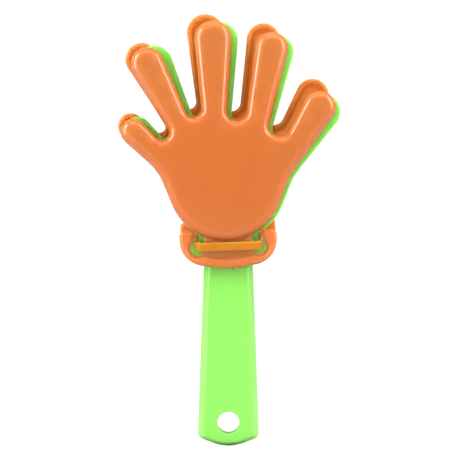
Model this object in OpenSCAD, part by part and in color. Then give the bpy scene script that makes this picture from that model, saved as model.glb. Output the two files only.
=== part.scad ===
// Hand clapper: a centre hand on a handle, two hollow outer hands and the loose loop that hinges them.
// Heights are measured up from the hang hole, and depths forward from the middle of the centre hand.

/* [Handle] */
// Diameter of the hang hole
hang_hole_d = 9.6; // [6:0.2:11]
// Wall of the tube round the hang hole
hang_wall = 1.6; // [1.2:0.1:2.4]
// Height of the handle's shoulder above the hang hole
handle_l = 67.2; // [50:0.2:85]
// Distance from the hang hole down to the handle's end
handle_end = 11.2; // [10:0.1:16]
// Width of the handle at its shoulder
shoulder_w = 21.8; // [19:0.2:24]
// Width of the handle at its end
handle_end_w = 27.2; // [24:0.2:32]
// Radius of the curved end
handle_end_r = 20.8; // [18:0.2:30]
// Radius of the two corners at the end
handle_corner_r = 3.6; // [3.4:0.1:5]
// Thickness of the handle
handle_t = 8.4; // [7:0.2:11]
// Distance that each side slopes in from the open back to the front
handle_slope = 2.3; // [1:0.1:2.5]
// Rounding between the front and the sloping sides
handle_edge = 0.9; // [0.4:0.1:1.1]
// Wall of the hollow handle
handle_wall = 1.8; // [1.2:0.1:2.4]

/* [Palm] */
// Radius of the palm
palm_r = 25.3; // [23:0.1:28]
// Height of the palm's lowest edge above the hinge
palm_rise = 2.4; // [2.3:0.1:4]
// Distance of the palm's centre from the handle's line, toward the thumb
palm_side = 0.45; // [0:0.05:2]
// Radius of the hollow below the thumb
thumb_hollow_r = 25.2; // [18:0.2:32]
// Direction of that hollow, in degrees from straight up
thumb_hollow_lean = -99.4; // [-104:0.1:-94]
// Radius of the hollow below the little finger
little_hollow_r = 19.6; // [14:0.2:26]
// Direction of that hollow, in degrees from straight up
little_hollow_lean = 100.4; // [96:0.1:106]
// Length that keeps each hollow clear of the palm's circle
hollow_run = 1; // [0.4:0.1:2]

/* [Fingers] */
// Distance from the palm's centre to the centre of the thumb's tip
thumb_reach = 45.7; // [42:0.1:50]
// Lean of the thumb from straight up, in degrees
thumb_lean = -59.3; // [-62:0.1:-56]
// Radius of the thumb's tip
thumb_tip = 5.75; // [5.2:0.05:6.5]
// Distance from the palm's centre to the centre of the index finger's tip
index_reach = 61.7; // [56:0.1:68]
// Lean of the index finger from straight up, in degrees
index_lean = -31.7; // [-34:0.1:-29]
// Radius of the index finger's tip
index_tip = 7.4; // [6.6:0.05:8.2]
// Distance from the palm's centre to the centre of the middle finger's tip
middle_reach = 62.6; // [56:0.1:70]
// Lean of the middle finger from straight up, in degrees
middle_lean = -3.3; // [-6:0.1:0]
// Radius of the middle finger's tip
middle_tip = 8.25; // [7.4:0.05:9]
// Distance from the palm's centre to the centre of the ring finger's tip
ring_reach = 61.6; // [56:0.1:68]
// Lean of the ring finger from straight up, in degrees
ring_lean = 20.7; // [18:0.1:23]
// Radius of the ring finger's tip
ring_tip = 7.3; // [6.6:0.05:8]
// Distance from the palm's centre to the centre of the little finger's tip
little_reach = 52.4; // [48:0.1:58]
// Lean of the little finger from straight up, in degrees
little_lean = 52.9; // [50:0.1:56]
// Radius of the little finger's tip
little_tip = 7.25; // [6.4:0.05:8]

/* [Finger gaps] */
// Distance from the palm's centre to the round foot of the thumb's gap
thumb_gap_reach = 35; // [32:0.1:37]
// Direction of the thumb's gap from straight up, in degrees
thumb_gap_lean = -50.2; // [-52:0.1:-48]
// Radius of the foot of the thumb's gap
thumb_gap_r = 2.75; // [2:0.05:3.6]
// Distance from the palm's centre to the round foot of the index finger's gap
index_gap_reach = 34.9; // [32:0.1:37]
// Direction of the index finger's gap from straight up, in degrees
index_gap_lean = -21.9; // [-23:0.1:-20]
// Radius of the foot of the index finger's gap
index_gap_r = 3.2; // [2:0.05:3.6]
// Distance from the palm's centre to the round foot of the middle finger's gap
middle_gap_reach = 31.5; // [29:0.1:34]
// Direction of the middle finger's gap from straight up, in degrees
middle_gap_lean = 10.6; // [9:0.1:12]
// Radius of the foot of the middle finger's gap
middle_gap_r = 4; // [3:0.05:4.8]
// Distance from the palm's centre to the round foot of the ring finger's gap
ring_gap_reach = 34.1; // [32:0.1:37]
// Direction of the ring finger's gap from straight up, in degrees
ring_gap_lean = 45.2; // [43:0.1:47]
// Radius of the foot of the ring finger's gap
ring_gap_r = 4.35; // [3.4:0.05:5]

/* [Centre hand] */
// Thickness of the palm plate, the neck and the hooks
plate_t = 1.6; // [1.2:0.1:2]
// Thickness of the rim round the palm plate
rim_t = 3; // [2.4:0.1:4]
// Width of the rim round the palm plate
rim_w = 2; // [1.2:0.1:3]
// Extra radius of the centre hand's palm
centre_palm_extra = 0.7; // [0:0.1:0.8]
// Extra radius of the hollow below the centre hand's little finger
centre_hollow_extra = 4.6; // [0:0.2:6]
// How much rounder the centre hand's index and little fingertips are than the outer hands'
centre_tip_extra = 0.8; // [0:0.1:1]
// How much less those fingertips' centres reach
centre_reach_less = 0.4; // [0:0.1:1]
// Distance that the hooks stop below the ends of the orange tabs
hook_short = 1; // [0:0.1:2]
// Width of the slots in the centre hand's wrist, round the loop's legs
hook_slot_w = 2.8; // [2.7:0.1:3.2]
// Depth of those slots below the hinge
hook_slot_drop = 0.7; // [0.7:0.1:2]

/* [Outer hands] */
// Depth of a hollow outer hand
shell_d = 10.2; // [9:0.1:12]
// Wall of an outer hand
shell_wall = 2; // [1.2:0.1:2.2]
// Rounding of an outer hand's front edge
shell_edge = 3; // [2.4:0.1:3.6]
// Draft of an outer hand's side wall, as the distance that it leans in
shell_draft = 0.2; // [0:0.05:0.4]
// Height of the soft crown on an outer hand's face
shell_crown = 0.4; // [0.1:0.05:0.8]
// Gap between an outer hand and the centre hand when it is shut
clap_gap = 0.3; // [0.2:0.05:1]

/* [Wrist tabs] */
// Width of a tab across its two arms
tab_w = 42.3; // [41:0.1:44]
// Height of the arms' ends above the hinge
arm_rise = 7.1; // [6.4:0.1:7.6]
// Radius of the outer corner at each arm's end
arm_end_r = 2.4; // [1.6:0.1:3]
// Distance from the hinge down to the tab's lowest edge
tab_drop = 9.65; // [9:0.05:12]
// Radius of the tab's lower edge
tab_arc_r = 39; // [34:1:60]
// Radius of the tab's lower corners
tab_corner_r = 11; // [9:0.1:12]
// Width of the stem between the mouths of the crooks
stem_w = 21; // [20:0.2:21.6]
// Radius of each crook's round foot
crook_r = 3.5; // [3.4:0.05:3.8]
// Height of the foot's centre above the hinge
crook_h = -0.1; // [-0.4:0.05:0]
// Distance of the foot's centre from the loop's leg, toward the stem
crook_in = 1; // [0.8:0.05:1.1]
// Radius of each crook's mouth
mouth_r = 2.2; // [2.1:0.05:2.5]
// Extra depth of the rear hand's crooks, which lets it ride higher
rear_crook_extra = 3; // [2.9:0.05:3.4]
// How much narrower the rear hand's crooks are, at each side
rear_crook_lip = 1.2; // [0:0.1:1.2]
// Thickness of a tab
tab_t = 1.8; // [1.4:0.1:2]
// Height of the raised band along a tab's arms and lower edge
band_h = 1.5; // [0.6:0.1:1.8]
// Width of the raised band at its middle
band_w = 3.7; // [2.6:0.1:4.4]
// Rise of the raised band's inner edge from its middle to the crooks
band_bow = 1.7; // [1:0.1:2.4]
// Radius of the gate mark on a tab's lower edge
gate_r = 0.8; // [0.4:0.1:1.2]
// Distance of the gate mark from the tab's middle
gate_side = 1.6; // [0:0.1:4]

/* [Hinge loop] */
// Width of the loop
loop_w = 29.4; // [28.4:0.1:29.6]
// Height of the loop's strap
loop_h = 3.8; // [3:0.1:3.9]
// Thickness of the loop's strap
loop_t = 1.5; // [1:0.1:1.8]
// Outer radius of the loop's corners
loop_corner_r = 3; // [2:0.1:5]
// Distance of each hinge from the middle of the centre hand
hinge_depth = 10.2; // [9.6:0.1:11]
// Clearance between the loop and what swings round it
swing_gap = 0.3; // [0.2:0.05:0.5]
// Clearance between the front tab and the handle's shoulder
shoulder_gap = 0.45; // [0.3:0.05:2]

/* [Rest pose] */
// Roll of the loop and the front hand in the slack, in degrees anticlockwise from the front
front_roll = 1.7; // [0:0.1:2]
// Roll of the rear hand in the slack, in degrees anticlockwise from the front
rear_roll = 3.9; // [1.7:0.1:4]
// Height that the rear hand rides above the front one
rear_lift = 4.7; // [4:0.1:5]
// Angle at which the rear hand stands ajar, in degrees
rear_ajar = 1; // [0:0.1:3]

/* [Hidden] */
$fn = 64;

// Largest turn of an outline in one straight step, in degrees
arc_step = 12;
// Step of the rounding on an outer hand's front edge, in degrees
edge_step = 18;
// Step of the rounding inside that edge, in degrees
inner_step = 45;
// Straight run that keeps a corner circle clear of the long arc it meets
arc_run = 0.5;
// Overlap that makes a cut or a join clean
over = 1;
// How far an outer hand's flat face lies below the crest of the wall round it
face_sink = 0.05;

orange = [0.91, 0.5, 0.23];
loop_orange = [0.93, 0.55, 0.2];
green = [0.55, 0.93, 0.36];

hinge_h = handle_l + shoulder_gap + tab_drop;
palm_h = palm_rise + palm_r;
loop_reach = norm([hinge_depth, rear_lift / 2]);
loop_tilt = atan2(rear_lift / 2, hinge_depth);
tab_front = hinge_depth - norm([loop_h, loop_t]) / 2 - swing_gap;
tab_back = tab_front - tab_t;
shell_back = rim_t / 2 + clap_gap;
shell_front = shell_back + shell_d;
leg_x = (loop_w - loop_t) / 2;
crook_x = leg_x - crook_in;
mouth_x = stem_w / 2 + mouth_r;
tip_least = min(thumb_tip, index_tip, middle_tip, ring_tip, little_tip);

// Circle of a hand, from a reach and a lean about the palm's centre; its radius is minus for a hollow
function from_palm(reach, lean, r) = [reach * sin(lean) - palm_side, reach * cos(lean) + palm_h, r];

// Circles that a hand's outline runs round, anticlockwise from the palm, with the hinge at height 0
function hand_circles(palm_extra, hollow_extra, tip_extra, reach_less) =
    let (
        palm = palm_r + palm_extra,
        little_hollow = little_hollow_r + hollow_extra
    )
    [
        from_palm(0, 0, palm),
        from_palm(palm + little_hollow + hollow_run, little_hollow_lean, -little_hollow),
        from_palm(little_reach - reach_less, little_lean, little_tip + tip_extra),
        from_palm(ring_gap_reach, ring_gap_lean, -ring_gap_r),
        from_palm(ring_reach, ring_lean, ring_tip),
        from_palm(middle_gap_reach, middle_gap_lean, -middle_gap_r),
        from_palm(middle_reach, middle_lean, middle_tip),
        from_palm(index_gap_reach, index_gap_lean, -index_gap_r),
        from_palm(index_reach - reach_less, index_lean, index_tip + tip_extra),
        from_palm(thumb_gap_reach, thumb_gap_lean, -thumb_gap_r),
        from_palm(thumb_reach, thumb_lean, thumb_tip),
        from_palm(palm + thumb_hollow_r + hollow_run, thumb_hollow_lean, -thumb_hollow_r)
    ];

// Height of a corner circle that rests inside the long arc of a given radius and centre height
function corner_height(arc_h, arc_r, x, r) = arc_h - sqrt(pow(arc_r - r + arc_run, 2) - x * x);

// Circles of a tab's outer edge, for a lowest edge and arm ends at the given heights
function tab_circles(drop, rise) =
    let (
        arc_h = tab_arc_r - drop,
        corner_x = tab_w / 2 - tab_corner_r,
        corner_h = corner_height(arc_h, tab_arc_r, corner_x, tab_corner_r),
        arm_x = tab_w / 2 - arm_end_r,
        arm_h = rise - arm_end_r
    )
    [
        [0, arc_h, tab_arc_r],
        [corner_x, corner_h, tab_corner_r],
        [arm_x, arm_h, arm_end_r],
        [-arm_x, arm_h, arm_end_r],
        [-corner_x, corner_h, tab_corner_r]
    ];

// Circles of the handle's outer edge, for a corner radius, with its upper end run on past the shoulder
function handle_circles(corner_r) =
    let (
        arc_h = handle_end_r - handle_end,
        corner_x = handle_end_w / 2 - corner_r,
        corner_h = corner_height(arc_h, handle_end_r, corner_x, corner_r),
        top_h = handle_l + handle_slope + handle_wall + over,
        top_r = handle_slope + handle_wall + handle_edge,
        top_x = shoulder_w / 2 - top_r
    )
    [
        [0, arc_h, handle_end_r],
        [corner_x, corner_h, corner_r],
        [top_x, top_h, top_r],
        [-top_x, top_h, top_r],
        [-corner_x, corner_h, corner_r]
    ];

function wrap(angle) = angle - 360 * floor(angle / 360);

// Heading of the straight run that joins two circles of an outline
function heading(a, b) =
    let (dx = b.x - a.x, dy = b.y - a.y)
    atan2(dy, dx) - asin((b[2] - a[2]) / norm([dx, dy]));

// Turn between two headings: anticlockwise round a bulge, clockwise round a hollow
function turn(from, to, r) = r > 0 ? wrap(to - from) : -wrap(from - to);

// Outline that runs round circles as a belt does, moved in by a distance, with the same count of points
function outline(circles, inset = 0) =
    let (n = len(circles))
    [
        for (i = [0 : n - 1])
            let (
                here = circles[i],
                start = heading(circles[(i + n - 1) % n], here),
                bend = turn(start, heading(here, circles[(i + 1) % n]), here[2]),
                steps = max(1, ceil(abs(bend) / arc_step)),
                r = here[2] - inset
            )
            for (k = [0 : steps])
                let (h = start + bend * k / steps)
                [here.x + r * sin(h), here.y - r * cos(h)]
    ];

// One ring of a skin: the outline moved in by a distance, at a depth
function ring_at(circles, inset, depth) = [for (p = outline(circles, inset)) [p.x, p.y, depth]];

// Closed skin: bands join pairs of rings, and caps close the rings in fronts and in backs
module skin(rings, bands, fronts = [], backs = []) {
    n = len(rings[0]);
    polyhedron(
        points = [for (ring = rings) each ring],
        faces = [
            for (b = bands)
                for (i = [0 : n - 1])
                    let (j = (i + 1) % n)
                    [b[0] * n + i, b[1] * n + i, b[1] * n + j, b[0] * n + j],
            for (ring = fronts) [for (i = [n - 1 : -1 : 0]) ring * n + i],
            for (ring = backs) [for (i = [0 : n - 1]) ring * n + i]
        ]
    );
}

// Hollow hand, open at the back: a rounded wall all round, with a tongue inside the crowned face it carries
module hand_shell() {
    circles = hand_circles(0, 0, 0, 0);
    turn_in = shell_draft + shell_edge;
    turn_d = shell_front - shell_edge;
    inner_edge = shell_edge - shell_wall;
    crown_in = (turn_in + tip_least) / 2;
    crown_d = shell_front + shell_crown;
    roof_d = shell_front - shell_wall;
    tongue_in = (crown_in + tip_least) / 2;
    tongue_d = (crown_d + roof_d) / 2;
    steps = [
        [0, shell_back],
        for (a = [0 : edge_step : 90]) [turn_in - shell_edge * cos(a), turn_d + shell_edge * sin(a)],
        [crown_in, crown_d],
        [tongue_in, tongue_d],
        [crown_in, roof_d],
        for (a = [90 : -inner_step : 0]) [turn_in - inner_edge * cos(a), turn_d + inner_edge * sin(a)],
        [shell_wall, shell_back]
    ];
    n = len(steps);
    skin(
        [for (s = steps) ring_at(circles, s[0], s[1])],
        [for (i = [0 : n - 1]) [i, (i + 1) % n]]
    );
    translate([0, 0, roof_d + face_sink])
        linear_extrude(crown_d - roof_d - 2 * face_sink) polygon(outline(circles, crown_in));
}

// Circles of the right crook of a tab, which can be deeper, or narrower at its sides by a lip
function crook(extra, lip) = [
    [crook_x, crook_h - extra - lip, crook_r - lip],
    [mouth_x, arm_rise + over, mouth_r]
];

// Circles of the right slot of the centre hand
function hook_slot() = [
    for (h = [hook_slot_w / 2 - hook_slot_drop, arm_rise + over]) [leg_x, h, hook_slot_w / 2]
];

// Flat anchor shape of a wrist, with the cut of the given circles on each side
module tab_outline(rise, extra, cut) {
    drop = tab_drop + extra;
    difference() {
        union() {
            polygon(outline(tab_circles(drop, rise)));
            translate([gate_side, gate_r / 2 - drop]) circle(gate_r);
        }
        for (side = [-1, 1])
            polygon(outline([for (c = cut) [side * c[0], c[1], c[2]]]));
    }
}

// Part of a tab that is raised: the arms, whose outer edge bends in, and the band along the lower edge
module band_outline(extra, lip) {
    circles = tab_circles(tab_drop + extra, arm_rise);
    foot = -tab_drop - extra;
    bow_r = (pow(stem_w / 2, 2) + pow(band_bow, 2)) / (2 * band_bow);
    floor_w = stem_w / 2 + crook_x;
    intersection() {
        tab_outline(arm_rise, extra, crook(extra, lip));
        difference() {
            polygon(outline([circles[0], circles[1], circles[4]]));
            intersection() {
                translate([0, foot + band_w + bow_r]) circle(bow_r);
                translate([-floor_w / 2, foot]) square([floor_w, arm_rise - foot + over]);
            }
        }
    }
}

// Wrist tab of an outer hand
module wrist_tab(extra, lip) {
    translate([0, 0, tab_back]) {
        linear_extrude(tab_t) tab_outline(arm_rise, extra, crook(extra, lip));
        linear_extrude(tab_t + band_h) band_outline(extra, lip);
    }
}

// Outer hand with its hinge at height 0, facing forward
module outer_hand(extra, lip) {
    union() {
        hand_shell();
        wrist_tab(extra, lip);
    }
}

// Solid of the handle, set in from its outer skin by a wall
module handle_body(wall) {
    circles = handle_circles(handle_corner_r + wall);
    half = handle_t / 2;
    slope_in = wall + handle_slope * (1 - handle_edge / handle_t);
    skin(
        [
            ring_at(circles, wall, -half - (wall > 0 ? over : 0)),
            ring_at(circles, slope_in, half - wall - handle_edge),
            ring_at(circles, wall + handle_slope + handle_edge, half - wall)
        ],
        [[0, 1], [1, 2]],
        [2],
        [0]
    );
}

// Everything above a height, to cut the handle off square
module above(h) {
    translate([-handle_end_w, h, -handle_t]) cube([2 * handle_end_w, handle_l, 2 * handle_t]);
}

// Hollow handle, open at the back, with a tube round its hang hole
module handle() {
    tube_r = hang_hole_d / 2 + hang_wall;
    difference() {
        union() {
            difference() {
                handle_body(0);
                above(handle_l);
                difference() {
                    handle_body(handle_wall);
                    above(handle_l - handle_wall);
                }
            }
            translate([0, 0, -handle_t / 2]) cylinder(h = handle_t - handle_edge, r = tube_r);
        }
        translate([0, 0, -handle_t]) cylinder(h = 2 * handle_t, d = hang_hole_d);
    }
}

// Palm plate with its rim, with the hinge at height 0
module palm_plate() {
    circles = hand_circles(centre_palm_extra, centre_hollow_extra, centre_tip_extra, centre_reach_less);
    linear_extrude(plate_t, center = true) polygon(outline(circles));
    linear_extrude(rim_t, center = true)
        difference() {
            polygon(outline(circles));
            polygon(outline(circles, rim_w));
        }
}

// Neck and hooks between the palm plate and the handle, with the hinge at height 0
module neck() {
    linear_extrude(plate_t, center = true)
        union() {
            tab_outline(arm_rise - hook_short, 0, hook_slot());
            translate([-shoulder_w / 2, handle_l - handle_wall - hinge_h])
                square([shoulder_w, hinge_h + handle_wall - handle_l - tab_drop + band_w]);
        }
}

module centre_hand() {
    color(green)
        rotate([90, 0, 0])
        union() {
            translate([0, hinge_h, 0]) {
                palm_plate();
                neck();
            }
            handle();
        }
}

module front_hand() {
    color(orange)
        rotate([90, 0, 0])
        translate([0, hinge_h, 0])
        rotate([0, 0, front_roll])
        outer_hand(0, 0);
}

module rear_hand() {
    color(orange)
        rotate([90, 0, 0])
        translate([0, hinge_h + rear_lift, -hinge_depth])
        rotate([0, 0, front_roll])
        rotate([-rear_ajar, 0, 0])
        rotate([0, 0, rear_roll - front_roll])
        translate([0, 0, hinge_depth])
        mirror([0, 0, 1])
        outer_hand(rear_crook_extra, rear_crook_lip);
}

// Rectangle with round corners, centred
module round_rectangle(w, d, r) {
    square([w - 2 * r, d], center = true);
    square([w, d - 2 * r], center = true);
    for (x = [-1, 1])
        for (y = [-1, 1])
            translate([x * (w / 2 - r), y * (d / 2 - r)]) circle(r);
}

module hinge_loop() {
    loop_d = 2 * loop_reach + loop_t;
    color(loop_orange)
        translate([0, 0, hinge_h + rear_lift / 2])
        rotate([0, -front_roll, 0])
        rotate([loop_tilt, 0, 0])
        linear_extrude(loop_h, center = true)
        difference() {
            round_rectangle(loop_w, loop_d, loop_corner_r);
            round_rectangle(loop_w - 2 * loop_t, loop_d - 2 * loop_t, loop_corner_r - loop_t);
        }
}

centre_hand();
front_hand();
rear_hand();
hinge_loop();
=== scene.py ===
# %% [markdown]
# # A hand clapper in moulded plastic
#
# Three rounded hands are stacked at the wrist. The green one in the middle carries the handle, and the
# orange ones are thin hollow shells that flap on a loose loop and clap against it. The imported model gives
# the frame, so the first step loads it and keeps its size, whose lowest point later sets the floor's height.

import math

import bmesh
import bpy
from mathutils import Matrix, Vector


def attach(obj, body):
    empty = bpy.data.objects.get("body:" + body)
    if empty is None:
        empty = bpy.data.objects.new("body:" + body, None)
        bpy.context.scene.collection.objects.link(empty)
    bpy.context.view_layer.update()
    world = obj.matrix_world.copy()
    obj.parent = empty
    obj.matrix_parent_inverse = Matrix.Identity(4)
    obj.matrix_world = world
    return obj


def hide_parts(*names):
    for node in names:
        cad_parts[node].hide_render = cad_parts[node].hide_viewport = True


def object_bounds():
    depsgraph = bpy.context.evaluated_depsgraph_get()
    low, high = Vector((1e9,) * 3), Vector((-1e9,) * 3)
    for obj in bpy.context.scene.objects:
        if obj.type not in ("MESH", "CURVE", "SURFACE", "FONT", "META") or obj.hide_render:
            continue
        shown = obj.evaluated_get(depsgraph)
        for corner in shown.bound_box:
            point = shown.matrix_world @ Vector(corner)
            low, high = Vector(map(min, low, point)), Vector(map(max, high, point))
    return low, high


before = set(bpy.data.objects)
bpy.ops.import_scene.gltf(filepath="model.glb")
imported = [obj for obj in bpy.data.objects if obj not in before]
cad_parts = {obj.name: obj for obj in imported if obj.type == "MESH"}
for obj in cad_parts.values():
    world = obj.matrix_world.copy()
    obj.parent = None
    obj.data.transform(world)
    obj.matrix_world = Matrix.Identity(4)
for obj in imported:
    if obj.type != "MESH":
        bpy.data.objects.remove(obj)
cad_low, cad_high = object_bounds()
print("CAD nodes:", sorted(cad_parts))
print("CAD size in mm:", [round((b - a) * 1000, 1) for a, b in zip(cad_low, cad_high)])

# %% [markdown]
# ## The camera
#
# A product picture like this one is taken from some way off with a long lens, so that the near hand isn't
# drawn much larger than the far one. The lens follows from the distance and from how many millimetres the
# square picture covers at the middle of the object.

# %% Camera
MM = 0.001
PICTURE_WIDTH = 202.4 * MM
VIEW_DISTANCE = 600 * MM
view_centre = Vector((0.7, 0, 84.4)) * MM

camera_data = bpy.data.cameras.new("photo_camera")
camera_data.sensor_width = 36
camera_data.lens = camera_data.sensor_width * VIEW_DISTANCE / PICTURE_WIDTH
camera = bpy.data.objects.new("photo_camera", camera_data)
camera.location = view_centre - Vector((0, VIEW_DISTANCE, 0))
camera.rotation_euler = (math.radians(90), 0, 0)
bpy.context.scene.collection.objects.link(camera)
bpy.context.scene.camera = camera
print("lens in mm:", round(camera_data.lens, 1))

# %% [markdown]
# ## Colours and nodes
#
# Colours are given as sRGB hex codes, but shaders work with linear light, so one function turns one
# into the other. One more adds a node, sets what is given by name and plugs in what is linked.

# %% Helpers for materials
def linear(code):
    """Linear RGBA of an sRGB hex code such as #ff8800."""
    channels = [int(code[i : i + 2], 16) / 255 for i in (1, 3, 5)]
    return [c / 12.92 if c <= 0.04045 else ((c + 0.055) / 1.055) ** 2.4 for c in channels] + [1]


def add_node(tree, kind, settings, links):
    """New node; settings are its sockets' or its own values, and links are the outputs that feed it."""
    node = tree.nodes.new(kind)
    for name, value in settings.items():
        if name in node.inputs.keys():
            node.inputs[name].default_value = value
        else:
            setattr(node, name, value)
    for name, source in links.items():
        tree.links.new(source, node.inputs[name])
    return node


print("half grey is", round(linear("#808080")[0], 3), "in linear light")

# %% [markdown]
# ## Moulded plastic
#
# The hands are polypropylene, shot into polished moulds. Their colour is painted deeper about the palm and a
# little paler toward the fingertips. This is painted light, for the light that falls more on the fingers than
# on the palm. Faint clouds a couple of centimetres wide vary the tone at random. The skin keeps a very fine
# waviness that spreads the highlights. Light soaks far into such plastic, so a wall of 2 mm glows when the
# cloth behind it is bright, which is why the hollow rear hand isn't dark. One recipe serves all the mouldings
# with other colours, so it is a function.

# %% Recipe for moulded plastic
# Painted light: the colour runs from the palm's to the tips' between these distances from the palm's centre
PALM_CENTRE, PALM_MM, TIPS_MM = (0, 0, 0.105), 15, 75
CLOUD_MM, CLOUD_SHARE = 24, 0.4
WAVE_MM, GLOSS_SPREAD = 2.2, 0.015
PLASTIC_IOR = 1.49

# What polishing leaves is finer than a tenth of a millimetre, and is drawn coarser so that it shows at all
GRAIN_MM, GRAIN_DEEP_MM, GRAIN_STRENGTH = 0.5, 0.01, 0.1


def moulded_plastic(name, palm, tips, roughness, gleam, soak, soak_mm):
    """Plastic whose colour runs from palm to tips as painted light, paler at the tips, with a gleam, and how
    far each hue of light soaks in.
    """
    material = bpy.data.materials.new(name)
    material.use_nodes = True
    tree = material.node_tree
    shader = tree.nodes["Principled BSDF"]
    place = add_node(tree, "ShaderNodeTexCoord", {}, {}).outputs["Object"]
    clouds, waves, grain = (
        add_node(tree, "ShaderNodeTexNoise", {"Scale": 1 / (size * MM), "Detail": detail}, {"Vector": place})
        for size, detail in ((CLOUD_MM, 3), (WAVE_MM, 2), (GRAIN_MM, 2))
    )

    far = add_node(tree, "ShaderNodeVectorMath", {"operation": "DISTANCE"}, {0: place})
    far.inputs[1].default_value = PALM_CENTRE
    reach = add_node(
        tree,
        "ShaderNodeMapRange",
        {"From Min": PALM_MM * MM, "From Max": TIPS_MM * MM},
        {"Value": far.outputs["Value"]},
    )
    mixed = add_node(
        tree,
        "ShaderNodeMath",
        {"operation": "MULTIPLY_ADD"},
        {0: clouds.outputs["Fac"], 2: reach.outputs["Result"]},
    )
    mixed.inputs[1].default_value = CLOUD_SHARE
    # Painted light and random tone: a ramp from the deeper palm colour to the paler tips colour, with clouds
    # mixed in
    tone_and_painted_light = add_node(tree, "ShaderNodeValToRGB", {}, {"Fac": mixed.outputs["Value"]})
    for element, spot, code in zip(tone_and_painted_light.color_ramp.elements, (0.2, 1.0), (palm, tips)):
        element.position = spot
        element.color = linear(code)

    gloss = add_node(
        tree,
        "ShaderNodeMapRange",
        {"To Min": roughness - GLOSS_SPREAD, "To Max": roughness + GLOSS_SPREAD},
        {"Value": waves.outputs["Fac"]},
    )
    skin = add_node(
        tree,
        "ShaderNodeBump",
        {"Strength": GRAIN_STRENGTH, "Distance": GRAIN_DEEP_MM * MM},
        {"Height": grain.outputs["Fac"]},
    )

    tree.links.new(tone_and_painted_light.outputs["Color"], shader.inputs["Base Color"])
    tree.links.new(gloss.outputs["Result"], shader.inputs["Roughness"])
    tree.links.new(skin.outputs["Normal"], shader.inputs["Normal"])
    shader.inputs["IOR"].default_value = PLASTIC_IOR
    shader.inputs["Specular IOR Level"].default_value = gleam
    shader.inputs["Subsurface Weight"].default_value = 1
    shader.inputs["Subsurface Radius"].default_value = soak
    shader.inputs["Subsurface Scale"].default_value = soak_mm * MM
    return material


print("clouds, waves and grain in mm:", CLOUD_MM, WAVE_MM, GRAIN_MM)

# %% [markdown]
# ## The three plastics
#
# The hands differ in their pigment and in the polish of their moulds. The loop has to bend, so it is of a
# softer kind with a duller skin. Gleam says how strongly the skin mirrors, and soak how far red, green and
# blue travel inside: orange lets red through the furthest, and green lets green.

# %% Three plastics
# Polypropylene with orange pigment, moulded against polished steel: soft bright lines along round edges
orange_plastic = moulded_plastic(
    "orange_polypropylene",
    # Painted light: the tips colour is paler than the palm colour, as if more light fell there
    palm="#ba6123",
    tips="#b76a30",
    roughness=0.25,
    gleam=0.8,
    soak=(1, 0.88, 0.7),
    soak_mm=10,
)

# Polypropylene with pale green pigment, moulded against duller steel: an even face with pale flanks
green_plastic = moulded_plastic(
    "green_polypropylene",
    # Painted light: the tips colour, which the handle also takes, is paler than the palm colour
    palm="#76ba48",
    tips="#80c254",
    roughness=0.32,
    gleam=0.8,
    soak=(0.8, 1, 0.4),
    soak_mm=5,
)

# Softer polyethylene with a yellower orange pigment, moulded against plain steel: a strap without bright lines
loop_plastic = moulded_plastic(
    "soft_polyethylene",
    # Painted light: the tips colour is a touch paler than the palm colour
    palm="#b17104",
    tips="#b37506",
    roughness=0.4,
    gleam=0.4,
    soak=(1, 0.7, 0.4),
    soak_mm=5,
)
print("materials:", [m.name for m in (orange_plastic, green_plastic, loop_plastic)])

# %% [markdown]
# ## A belt round circles
#
# Hands this simple are all round ends and round hollows, joined by straight runs, just as a belt runs over
# pulleys. So each outline is a short list of circles, with a minus radius where the belt bends back round a
# hollow. One vertex is set where the belt meets a circle, and spin sweeps it along the arc.

# %% Outline from circles
ARC_STEP = math.radians(5)


def heading(a, b):
    """Direction of the straight run that joins circle a to circle b."""
    dx, dy = b[0] - a[0], b[1] - a[1]
    return math.atan2(dy, dx) - math.asin((b[2] - a[2]) / math.hypot(dx, dy))


def belt(bm, circles, inset, depth):
    """Ring of edges round circles of x, y and radius, moved in by a distance, at a depth; all in mm."""
    known = set(bm.edges)
    arcs = []
    for before, here, after in zip(circles[-1:] + circles[:-1], circles, circles[1:] + circles[:1]):
        start = heading(before, here)
        bend = (heading(here, after) - start) % math.tau
        if here[2] < 0:
            bend -= math.tau
        r = here[2] - inset
        first = bm.verts.new(
            ((here[0] + r * math.sin(start)) * MM, (here[1] - r * math.cos(start)) * MM, depth * MM)
        )
        swept = bmesh.ops.spin(
            bm,
            geom=[first],
            cent=(here[0] * MM, here[1] * MM, depth * MM),
            axis=(0, 0, 1),
            angle=bend,
            steps=max(1, math.ceil(abs(bend) / ARC_STEP)),
        )
        arcs.append((first, swept["geom_last"][0]))
    for this, following in zip(arcs, arcs[1:] + arcs[:1]):
        bm.edges.new((this[1], following[0]))
    return [e for e in bm.edges if e not in known]


print("a full circle has", round(math.tau / ARC_STEP), "steps")

# %% [markdown]
# ## Skins and soft edges
#
# A moulding leaves its mould because its walls lean a little, and its edges are rounded so that it fills
# well. Leaning and rolled walls come from laying the same outline several times, each a little further in
# and further forward, and bridging ring to ring. Sharp edges that are left are rounded with a bevel, after
# flat faces are merged, so that no needless edge stands in its way.

# %% Bridge, soften and measure
SHARP = math.radians(40)
FLAT = math.radians(0.3)


def bridge(bm, loops):
    """Skin over rings of edges, from each to the next."""
    for lower, upper in zip(loops, loops[1:]):
        bmesh.ops.bridge_loops(bm, edges=lower + upper)


def soften(bm, width, chosen=None):
    """Rounds the sharp edges of a solid, or those that chosen accepts, by a width in mm."""
    bmesh.ops.dissolve_limit(bm, angle_limit=FLAT, verts=bm.verts, edges=bm.edges)
    sharp = [
        e
        for e in bm.edges
        if e.is_manifold and e.calc_face_angle() > SHARP and (chosen is None or chosen(e))
    ]
    bmesh.ops.bevel(
        bm,
        geom=sharp,
        offset=width * MM,
        offset_type="OFFSET",
        segments=3,
        profile=0.5,
        affect="EDGES",
        material=-1,
        clamp_overlap=True,
    )
    return bm


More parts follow.
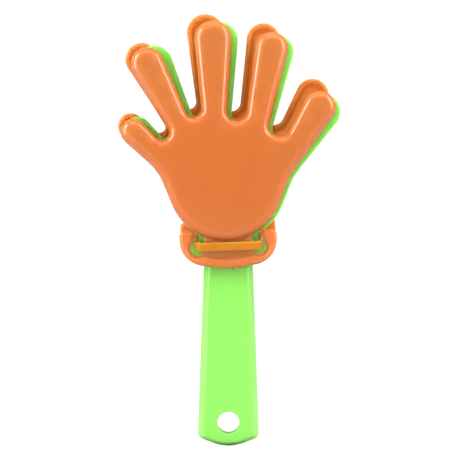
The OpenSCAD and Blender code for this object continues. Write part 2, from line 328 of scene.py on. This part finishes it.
def report(name, bm):
    """Prints how big a solid is and whether its skin is closed."""
    low = [min(v.co[i] for v in bm.verts) / MM for i in range(3)]
    high = [max(v.co[i] for v in bm.verts) / MM for i in range(3)]
    open_edges = sum(not e.is_manifold for e in bm.edges)
    size = [round(b - a, 1) for a, b in zip(low, high)]
    volume = round(bm.calc_volume() / MM**3)
    print(name, "mm", size, "mm3", volume, "faces", len(bm.faces), "open edges", open_edges)


print("edges of more than", round(math.degrees(SHARP)), "degrees count as sharp")

# %% [markdown]
# ## The outline of a hand
#
# Fingers spread from one point in the palm, so each fingertip and each hollow between two fingers is given by
# its reach and its lean from there. Two large hollows lead from the palm out to the thumb and to the little
# finger. The centre hand is nearly the same, with a larger palm and a blunter index and little finger.

# %% Hand outline
PALM_H, PALM_SIDE = 27.7, 0.45
LITTLE_SIDE, THUMB_SIDE, THUMB_HOLLOW, WEB = 100.4, -99.4, 25.2, 1


def from_palm(reach, lean, r):
    """Circle at a reach and a lean in degrees from the palm's centre, with the hinge at height 0."""
    lean = math.radians(lean)
    return (reach * math.sin(lean) - PALM_SIDE, reach * math.cos(lean) + PALM_H, r)


def hand_circles(palm, little_hollow, blunt=(0, 0)):
    """Circles of a hand, anticlockwise from a palm; blunt widens and draws in two of its fingertips."""
    wider, less = blunt
    return [
        from_palm(0, 0, palm),
        from_palm(palm + little_hollow + WEB, LITTLE_SIDE, -little_hollow),
        from_palm(52.4 - less, 52.9, 7.25 + wider),
        from_palm(34.1, 45.2, -4.35),
        from_palm(61.6, 20.7, 7.3),
        from_palm(31.5, 10.6, -4),
        from_palm(62.6, -3.3, 8.25),
        from_palm(34.9, -21.9, -3.2),
        from_palm(61.7 - less, -31.7, 7.4 + wider),
        from_palm(35, -50.2, -2.75),
        from_palm(45.7, -59.3, 5.75),
        from_palm(palm + THUMB_HOLLOW + WEB, THUMB_SIDE, -THUMB_HOLLOW),
    ]


shell_circles = hand_circles(palm=25.3, little_hollow=19.6)
centre_circles = hand_circles(palm=26, little_hollow=24.2, blunt=(0.8, 0.4))
print("circles of a hand:", len(shell_circles))

# %% [markdown]
# ## The hollow hand
#
# Each outer hand is a shell with a wall of about 2 mm, like the lid of a lunch box. Its outer skin starts
# at the open rim, leans in a little, and rolls over to the flat face in a quarter round. The inner skin leans
# more, because the mould's core has to slip out of it, so it is a quarter of a deep ellipse. Both skins are
# rings of the same outline, and the rim's two edges are rounded into a bead. Two rings that are bridged never
# lie at quite the same depth, because bridging reads from the depth which way round they run.

# %% Hand shell
SHELL_BACK, SHELL_FACE, SHELL_WALL = 1.8, 12.4, 2.0
SHELL_ROUND, SHELL_LEAN, SHELL_BEAD = 4.0, 0.2, 0.8
STEP, JUST = 0.05, 0.1


def quarter(inset, depth, wide, deep):
    """Rings of a quarter ellipse, so wide and so deep, which starts at an inset and ends at a depth."""
    turns = [math.radians(a) for a in range(0, 91, 10)]
    return [(inset + wide * (1 - math.cos(a)), depth - deep * (1 - math.sin(a))) for a in turns]


def hand_shell(circles):
    """Hollow hand, open at the back."""
    outer = [(0, SHELL_BACK)] + quarter(SHELL_LEAN, SHELL_FACE, SHELL_ROUND, SHELL_ROUND)
    hollow = SHELL_FACE - SHELL_WALL - SHELL_BACK - STEP
    inner = quarter(SHELL_WALL, SHELL_FACE - SHELL_WALL, SHELL_ROUND - SHELL_WALL, hollow)[::-1]
    bm = bmesh.new()
    skins = [[belt(bm, circles, *ring) for ring in skin] for skin in (outer, inner)]
    for skin in skins:
        bridge(bm, skin)
    bridge(bm, [skins[1][-1], skins[0][0]])
    bmesh.ops.contextual_create(bm, geom=skins[0][-1])
    bmesh.ops.contextual_create(bm, geom=skins[1][0])
    bmesh.ops.recalc_face_normals(bm, faces=bm.faces)
    return soften(bm, SHELL_BEAD, lambda e: all(v.co.z < (SHELL_BACK + JUST) * MM for v in e.verts))


shell = hand_shell(shell_circles)
report("hand shell", shell)

# %% [markdown]
# ## Lofts and booleans
#
# The wrist has holes and raised bands, which are easiest as solids that are cut out of one another or added.
# A loft is such a solid: rings of one outline, bridged, with a cap at each end, or bridged back to the first
# ring. The Boolean modifier cuts and adds them, and its result is read back as a new mesh.

# %% Loft and combine
MERGE = 0.002


def loft(circles, rings, closed=False):
    """Solid through rings of (inset, depth) in mm, with a cap at each end unless it closes on itself."""
    bm = bmesh.new()
    loops = [belt(bm, circles, inset, depth) for inset, depth in rings]
    bridge(bm, loops)
    if closed:
        bridge(bm, [loops[-1], loops[0]])
    else:
        bmesh.ops.contextual_create(bm, geom=loops[0])
        bmesh.ops.contextual_create(bm, geom=loops[-1])
    bmesh.ops.recalc_face_normals(bm, faces=bm.faces)
    return bm


def mesh_object(name, bm):
    """Scene object with the mesh of bm, which is used up."""
    mesh = bpy.data.meshes.new(name)
    bm.to_mesh(mesh)
    bm.free()
    thing = bpy.data.objects.new(name, mesh)
    bpy.context.scene.collection.objects.link(thing)
    return thing


def combine(bm, other, operation):
    """Boolean of two solids, as a new one; both are used up."""
    base, tool = mesh_object("base", bm), mesh_object("tool", other)
    step = base.modifiers.new("boolean", "BOOLEAN")
    step.object, step.operation, step.solver = tool, operation, "EXACT"
    result = bmesh.new()
    result.from_object(base, bpy.context.evaluated_depsgraph_get())
    for thing in (base, tool):
        bpy.data.meshes.remove(thing.data)
    bmesh.ops.remove_doubles(result, verts=result.verts, dist=MERGE * MM)
    return result


print("points closer than", MERGE, "mm are merged after a boolean")

# %% [markdown]
# ## The outline of the wrist
#
# Below the palm the shell ends in an anchor shape, whose arms curl up and in outside two round crooks. Its
# long lower edge is one flat arc. A corner circle rests inside each end of that arc, so the belt runs
# smoothly on into the arms.

# %% Wrist outline
TAB_W, TAB_DROP, TAB_ARC, TAB_CORNER = 42.3, 9.65, 39, 11
ARM_RISE, ARM_END = 7.1, 2.4
CORNER_PAST = 0.5


def corner_height(arc_h, arc_r, x, r):
    """Height of a corner circle that rests inside a long arc and comes out a little past it."""
    return arc_h - math.sqrt((arc_r - r + CORNER_PAST) ** 2 - x * x)


def tab_circles(drop, rise):
    """Circles of an anchor's outer edge, for the heights of its lowest edge and of its arms' ends."""
    corner_x, arm_x = TAB_W / 2 - TAB_CORNER, TAB_W / 2 - ARM_END
    corner_h = corner_height(TAB_ARC - drop, TAB_ARC, corner_x, TAB_CORNER)
    return [
        (0, TAB_ARC - drop, TAB_ARC),
        (corner_x, corner_h, TAB_CORNER),
        (arm_x, rise - ARM_END, ARM_END),
        (-arm_x, rise - ARM_END, ARM_END),
        (-corner_x, corner_h, TAB_CORNER),
    ]


print("anchor's corner:", [round(n, 1) for n in tab_circles(TAB_DROP, ARM_RISE)[1]])

# %% [markdown]
# ## The plate of the wrist
#
# The tab is a flat plate, so it is a prism of the anchor's outline, with the crooks for the loop's legs cut
# out. A crook is a belt round two circles, and a cutter always runs a little past what it cuts. A small round
# stub on the lower edge is where the melt came in. The rear hand's foot is deeper, and lets it ride higher.

# %% Wrist plates
TAB_BACK, TAB_FRONT, TAB_EDGE, REAR_DEEPER = 6.06, 7.86, 0.3, 3
GATE_SIDE, GATE_R = 1.6, 0.8
SPARE = 1

# Belts of the right crook: the front hand's arms curl in at their ends, and the rear hand's crook is deep
CROOK_X, MOUTH_X, ABOVE = 12.95, 12.4, ARM_RISE + SPARE
FRONT_CROOK = [[(13.5, -0.65, 2.95), (MOUTH_X, 4, 1.9)], [(MOUTH_X, 3, 1.9), (MOUTH_X, ABOVE, 1.9)]]
REAR_CROOK = [[(CROOK_X, -4.3, 2.3), (12.7, ABOVE, 2.2)]]


def moved(x, y, z):
    """Matrix of a shift in mm."""
    return Matrix.Translation(Vector((x, y, z)) * MM)


def rod(r, low, high):
    """Round rod along the depth, at the origin, between two depths in mm."""
    bm = bmesh.new()
    length = (high - low) * MM
    bmesh.ops.create_cone(bm, cap_ends=True, segments=64, radius1=r * MM, radius2=r * MM, depth=length)
    bm.transform(moved(0, 0, (low + high) / 2))
    return bm


def cut_sides(bm, belts, rings):
    """Cuts the lofts of belts of circles out of both sides of a solid."""
    for side in (-1, 1):
        for circles in belts:
            shape = [(side * x, y, r) for x, y, r in circles]
            bm = combine(bm, loft(shape, rings), "DIFFERENCE")
    return bm


def wrist_plate(deeper, crook):
    """Anchor plate with the crooks of some belts, and with its foot deeper by some millimetres."""
    plate = loft(tab_circles(TAB_DROP + deeper, ARM_RISE), [(0, TAB_BACK), (0, TAB_FRONT)])
    plate = cut_sides(plate, crook, [(0, TAB_BACK - SPARE), (0, TAB_FRONT + SPARE)])
    gate = rod(GATE_R, TAB_BACK + JUST, TAB_FRONT - JUST)
    gate.transform(moved(GATE_SIDE, GATE_R / 2 - TAB_DROP - deeper, 0))
    return combine(soften(plate, TAB_EDGE), gate, "UNION")


front_plate, rear_plate = wrist_plate(0, FRONT_CROOK), wrist_plate(REAR_DEEPER, REAR_CROOK)
report("front plate", front_plate)
report("rear plate", rear_plate)

# %% [markdown]
# ## The band of the wrist
#
# A round-backed band is raised along the anchor's lower edge and up its arms, and leaves a thin border round
# the crooks. It comes from the same outlines, with flanks that roll over in a quarter round, because a bevel
# would stop at the band's narrowest place. A block with a bowed lower side clears the floor between the arms.

# %% Wrist bands
BAND_FRONT, BAND_ROUND, BAND_SUNK = 9.36, 1.3, 0.4
BAND_W, BAND_BOW, BAND_IN, BAND_EDGE, STEM_W = 3.7, 1.7, 1, 0.3, 21


def flank(inset, roll):
    """Rings of the band's flank at an inset, which rolls in by a width, or out by a minus one."""
    return [(inset, TAB_BACK - SPARE)] + quarter(inset, BAND_FRONT, roll, BAND_ROUND)


def floor_block(foot):
    """Block above the band's upper edge, whose lower side is bowed."""
    bow_r = ((STEM_W / 2) ** 2 + BAND_BOW**2) / (2 * BAND_BOW)
    half = (STEM_W / 2 + CROOK_X) / 2
    centre, low = foot + BAND_W + bow_r, TAB_BACK - SPARE
    swing = math.asin(half / bow_r)
    bm = bmesh.new()
    first = bm.verts.new((-half * MM, (centre - bow_r * math.cos(swing)) * MM, low * MM))
    bmesh.ops.spin(
        bm,
        geom=[first],
        cent=(0, centre * MM, low * MM),
        axis=(0, 0, 1),
        angle=2 * swing,
        steps=16,
    )
    raised = bmesh.ops.extrude_edge_only(bm, edges=bm.edges[:])["geom"]
    for v in raised:
        if isinstance(v, bmesh.types.BMVert):
            v.co.y = ABOVE * MM
    lifted = bmesh.ops.extrude_face_region(bm, geom=bm.faces[:], use_keep_orig=True)["geom"]
    lifted = [v for v in lifted if isinstance(v, bmesh.types.BMVert)]
    bmesh.ops.translate(bm, vec=(0, 0, (BAND_FRONT - TAB_BACK + 2 * SPARE) * MM), verts=lifted)
    bmesh.ops.recalc_face_normals(bm, faces=bm.faces)
    return bm


def wrist_band(deeper, crook):
    """Band along the lower edge and the arms of a wrist plate, clear of its crooks."""
    circles = tab_circles(TAB_DROP + deeper, ARM_RISE)
    high = BAND_FRONT + SPARE
    band = loft([circles[0], circles[1], circles[4]], [(0, TAB_BACK + BAND_SUNK), (0, high)])
    band = combine(band, loft(circles, flank(BAND_EDGE, BAND_ROUND)), "INTERSECT")
    band = combine(band, floor_block(-TAB_DROP - deeper), "DIFFERENCE")
    inside = flank(-BAND_IN, -BAND_ROUND) + [(-BAND_IN - BAND_ROUND, high)]
    return cut_sides(band, crook, inside)


front_tab = combine(front_plate, wrist_band(0, FRONT_CROOK), "UNION")
rear_tab = combine(rear_plate, wrist_band(REAR_DEEPER, REAR_CROOK), "UNION")
report("front tab", front_tab)
report("rear tab", rear_tab)

# %% [markdown]
# ## Front and rear hand
#
# Shell and tab are one moulding, so they are joined into one skin. The work so far lies flat, with the
# hinge at the origin and the face toward +Z. A matrix stands it up in the object's frame, with the roll at
# which it hangs on its loop. The rear hand is the same moulding mirrored, and its skin is turned out again.

# %% Outer hands
HINGE_H, HINGE_DEPTH, REAR_LIFT = 77.3, 10.2, 4.7
FRONT_ROLL, REAR_ROLL, REAR_AJAR = (math.radians(a) for a in (1.7, 3.9, 1.0))
STAND_UP = Matrix.Rotation(math.radians(90), 4, "X")


def finished_piece(name, bm, material, body):
    """Visible piece that rides on a body, stands for the CAD node of its name and takes a slot's finish."""
    for face in bm.faces:
        face.smooth = True
    for edge in bm.edges:
        edge.smooth = not edge.is_manifold or edge.calc_face_angle() < SHARP
    report(name, bm)
    piece = mesh_object("plastic_" + name, bm)
    piece.data.materials.append(material)
    piece.modifiers.new("even_shading", "WEIGHTED_NORMAL").keep_sharp = True
    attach(piece, body)
    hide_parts(name)


front = combine(shell.copy(), front_tab, "UNION")
front.transform(STAND_UP @ moved(0, HINGE_H, 0) @ Matrix.Rotation(FRONT_ROLL, 4, "Z"))
finished_piece("front_hand", front, orange_plastic, "front")

rear = combine(shell, rear_tab, "UNION")
rear.transform(
    STAND_UP
    @ moved(0, HINGE_H + REAR_LIFT, -HINGE_DEPTH)
    @ Matrix.Rotation(FRONT_ROLL, 4, "Z")
    @ Matrix.Rotation(-REAR_AJAR, 4, "X")
    @ Matrix.Rotation(REAR_ROLL - FRONT_ROLL, 4, "Z")
    @ moved(0, 0, HINGE_DEPTH)
    @ Matrix.Scale(-1, 4, (0, 0, 1))
)
bmesh.ops.recalc_face_normals(rear, faces=rear.faces)
finished_piece("rear_hand", rear, orange_plastic, "rear")

# %% [markdown]
# ## The handle
#
# The handle is a long trough, open at the back, so that its walls are as thin as those of the hands. Its
# flanks lean, so they catch more light than its face. It is a loft of two rings with a smaller one cut out
# of it, both cut off square at the wrist by a plane. A tube round the hang hole joins face and back.

# %% Handle
HANDLE_L, HANDLE_END, HANDLE_END_W, HANDLE_END_R, SHOULDER_W = 68.2, 11.2, 27.2, 20.8, 21.8
HANDLE_T, HANDLE_SLOPE, HANDLE_WALL, HANDLE_CORNER, TOP_R = 8.4, 2.3, 1.8, 3.6, 5
FACE_ROUND, HANDLE_EDGE = 1.0, 0.35
HOLE_R, TUBE_WALL, TUBE_SHORT = 4.8, 1.6, 0.9


def handle_body(wall, top):
    """Solid of the handle, set in by a wall and cut off square at a height."""
    corner_r, half = HANDLE_CORNER + wall, HANDLE_T / 2
    corner_x = HANDLE_END_W / 2 - corner_r
    arc_h = HANDLE_END_R - HANDLE_END
    corner_h = corner_height(arc_h, HANDLE_END_R, corner_x, corner_r)
    top_x, top_h = SHOULDER_W / 2 - TOP_R, HANDLE_L + TOP_R + JUST
    circles = [
        (0, arc_h, HANDLE_END_R),
        (corner_x, corner_h, corner_r),
        (top_x, top_h, TOP_R),
        (-top_x, top_h, TOP_R),
        (-corner_x, corner_h, corner_r),
    ]
    back, face = -half - (SPARE if wall else 0), half - wall
    bm = loft(circles, [(wall, back), (wall + HANDLE_SLOPE, face)])
    bm = soften(bm, FACE_ROUND, lambda e: all(v.co.z > (face - JUST) * MM for v in e.verts))
    whole = bm.verts[:] + bm.edges[:] + bm.faces[:]
    bmesh.ops.bisect_plane(bm, geom=whole, plane_co=(0, top * MM, 0), plane_no=(0, 1, 0), clear_outer=True)
    bmesh.ops.holes_fill(bm, edges=[e for e in bm.edges if e.is_boundary])
    bmesh.ops.recalc_face_normals(bm, faces=bm.faces)
    return bm


def hollow_handle():
    """Hollow handle with a tube round its hang hole."""
    half = HANDLE_T / 2
    bm = combine(handle_body(0, HANDLE_L), handle_body(HANDLE_WALL, HANDLE_L - HANDLE_WALL), "DIFFERENCE")
    bm = combine(bm, rod(HOLE_R + TUBE_WALL, -half, half - TUBE_SHORT), "UNION")
    bm = combine(bm, rod(HOLE_R, -HANDLE_T, HANDLE_T), "DIFFERENCE")
    return soften(bm, HANDLE_EDGE)


handle = hollow_handle()
report("handle", handle)

# %% [markdown]
# ## The centre hand
#
# The hand that takes the blows is a plain plate, stiffened by a thicker rim, so it rings when the shells
# strike it. Its wrist repeats the anchor shape of the tabs, with a slot on each side for the loop's leg, and
# a neck joins it to the handle. All of it is one moulding, so the solids are added up.

# %% Centre hand
PLATE_T, RIM_T, RIM_W, RIM_SLOPE, RIM_EDGE = 1.6, 3.0, 1.4, 1.6, 0.4
LEG_X, SLOT_W, SLOT_DROP, HOOK_LESS = 13.95, 2.1, 1.1, 1
half_rim, half_plate = RIM_T / 2, PLATE_T / 2


def block(x, y, z):
    """Box between pairs of limits in mm."""
    bm = bmesh.new()
    bmesh.ops.create_cube(bm, size=1)
    bmesh.ops.scale(bm, vec=[(b - a) * MM for a, b in (x, y, z)], verts=bm.verts)
    bmesh.ops.translate(bm, vec=[(a + b) / 2 * MM for a, b in (x, y, z)], verts=bm.verts)
    return bm


plate = loft(
    centre_circles,
    [
        (RIM_W + RIM_SLOPE, -half_plate),
        (RIM_W, STEP - half_rim),
        (0, -half_rim),
        (0, half_rim),
        (RIM_W, half_rim - STEP),
        (RIM_W + RIM_SLOPE, half_plate),
    ],
)
plate = soften(plate, RIM_EDGE)
hooks = loft(tab_circles(TAB_DROP, ARM_RISE - HOOK_LESS), [(0, -half_plate), (0, half_plate)])
slot = [(LEG_X, y, SLOT_W / 2) for y in (SLOT_W / 2 - SLOT_DROP, ABOVE)]
hooks = cut_sides(hooks, [slot], [(0, -RIM_T), (0, RIM_T)])
shoulder = HANDLE_L - HANDLE_WALL - HINGE_H
neck = block((-SHOULDER_W / 2, SHOULDER_W / 2), (shoulder, BAND_W - TAB_DROP), (-half_plate, half_plate))
hooks = soften(combine(hooks, neck, "UNION"), TAB_EDGE)
centre = combine(plate, hooks, "UNION")
centre.transform(moved(0, HINGE_H, 0))
centre = combine(centre, handle, "UNION")
centre.transform(STAND_UP)
finished_piece("centre_hand", centre, green_plastic, "base")

# %% [markdown]
# ## The hinge loop
#
# One closed strap of softer plastic ties the three hands together. Its bars lie across the front and the
# rear tab and its legs pass through all the crooks. Four corner circles give the outline, and four rings
# of it close on themselves as a square strap, whose edges are then rounded.

# %% Hinge loop
LOOP_W, LOOP_H, LOOP_T, LOOP_CORNER, LOOP_EDGE = 29.4, 3.8, 1.5, 3, 0.4
loop_reach = math.hypot(HINGE_DEPTH, REAR_LIFT / 2)
loop_tilt = math.atan2(REAR_LIFT / 2, HINGE_DEPTH)
side, end = LOOP_W / 2 - LOOP_CORNER, loop_reach + LOOP_T / 2 - LOOP_CORNER
corners = [(x, y, LOOP_CORNER) for x, y in ((side, -end), (side, end), (-side, end), (-side, -end))]
half_loop = LOOP_H / 2
rings = [(0, -half_loop), (0, half_loop), (LOOP_T, half_loop - STEP), (LOOP_T, STEP - half_loop)]
strap = soften(loft(corners, rings, closed=True), LOOP_EDGE)
strap.transform(
    moved(0, 0, HINGE_H + REAR_LIFT / 2)
    @ Matrix.Rotation(-FRONT_ROLL, 4, "Y")
    @ Matrix.Rotation(loop_tilt, 4, "X")
)
finished_piece("hinge_loop", strap, loop_plastic, "loop")

# %% [markdown]
# ## The floor
#
# The floor is white paper, so brightly lit that the picture shows it as plain white, though it throws less
# light than that onto the object. So the camera sees it glow, and no other ray does.

# %% Floor
FLOOR_R = 4


def white_floor():
    """Large pale disc under the lowest point."""
    bm = bmesh.new()
    bmesh.ops.create_circle(bm, cap_ends=True, segments=128, radius=FLOOR_R)
    bmesh.ops.translate(bm, vec=(0, 0, cad_low[2]), verts=bm.verts)
    floor = mesh_object("floor", bm)

    # Matt paper, pressed from loose fibres: no gloss, and an even grey where it only throws light back
    material = bpy.data.materials.new("white_paper")
    material.use_nodes = True
    paper = material.node_tree.nodes["Principled BSDF"]
    paper.inputs["Base Color"].default_value = linear("#909090")
    paper.inputs["Roughness"].default_value = 0.9
    paper.inputs["Emission Color"].default_value = linear("#ffffff")
    path = add_node(material.node_tree, "ShaderNodeLightPath", {}, {})
    material.node_tree.links.new(path.outputs["Is Camera Ray"], paper.inputs["Emission Strength"])
    floor.data.materials.append(material)


white_floor()
print("floor in m across:", 2 * FLOOR_R, "at height", round(cad_low[2], 4))

# %% [markdown]
# ## The light tent
#
# The picture has the even white of a light tent: white cloth all round, brightest behind the object. A world
# that grows brighter toward the back stands in for the cloth. Like the floor it is overexposed, so what the
# camera sees of it, and what the plastic mirrors of it, are set apart from the light that it gives.

# %% Light tent
def light_tent(front, back, mirrored, seen):
    """World whose light grows from front to back, with its own strength where it is mirrored or seen."""
    world = bpy.data.worlds.new("light_tent")
    world.use_nodes = True
    tree = world.node_tree
    way = add_node(tree, "ShaderNodeTexCoord", {}, {}).outputs["Generated"]
    depth = add_node(tree, "ShaderNodeSeparateXYZ", {}, {"Vector": way}).outputs["Y"]
    path = add_node(tree, "ShaderNodeLightPath", {}, {}).outputs
    strength = add_node(
        tree, "ShaderNodeMapRange", {"From Min": -1, "To Min": front, "To Max": back}, {"Value": depth}
    )
    for kind, value in (("Is Glossy Ray", mirrored), ("Is Camera Ray", seen)):
        strength = add_node(
            tree,
            "ShaderNodeMapRange",
            {"To Max": value},
            {"Value": path[kind], "To Min": strength.outputs["Result"]},
        )
    tree.nodes["Background"].inputs["Color"].default_value = linear("#ffffff")
    tree.links.new(strength.outputs["Result"], tree.nodes["Background"].inputs["Strength"])
    bpy.context.scene.world = world


light_tent(front=0.25, back=3.3, mirrored=0.15, seen=1.1)
print("world:", bpy.context.scene.world.name)

# %% [markdown]
# ## The lamps
#
# A tall soft light on each side draws the bright lines along the round edges, and a box overhead brightens
# the fingertips. A fill light behind the camera takes the shadows out of the wrist, and is kept out of the
# reflections, as a polariser would. Plain colour management keeps the colours as they were matched.

# %% Lamps
def soft_light(name, place, size, power, mirrored=True):
    """Rectangular soft light that faces the middle of the object, and can be kept out of reflections."""
    data = bpy.data.lights.new(name, "AREA")
    data.shape, data.size, data.size_y, data.energy = "RECTANGLE", size[0], size[1], power
    lamp = bpy.data.objects.new(name, data)
    lamp.location, lamp.visible_glossy = place, mirrored
    lamp.rotation_euler = (view_centre - Vector(place)).to_track_quat("-Z", "Y").to_euler()
    bpy.context.scene.collection.objects.link(lamp)


soft_light("left_strip", place=(-0.56, -0.28, 0.30), size=(0.18, 0.7), power=4.9)
soft_light("right_strip", place=(0.56, -0.28, 0.40), size=(0.22, 0.7), power=4.1)
soft_light("top_box", place=(0, -0.35, 0.75), size=(0.6, 0.4), power=1.3)
soft_light("front_fill", place=(0, -0.9, 0.085), size=(0.2, 0.15), power=3.8, mirrored=False)
bpy.context.scene.view_settings.view_transform = "Standard"
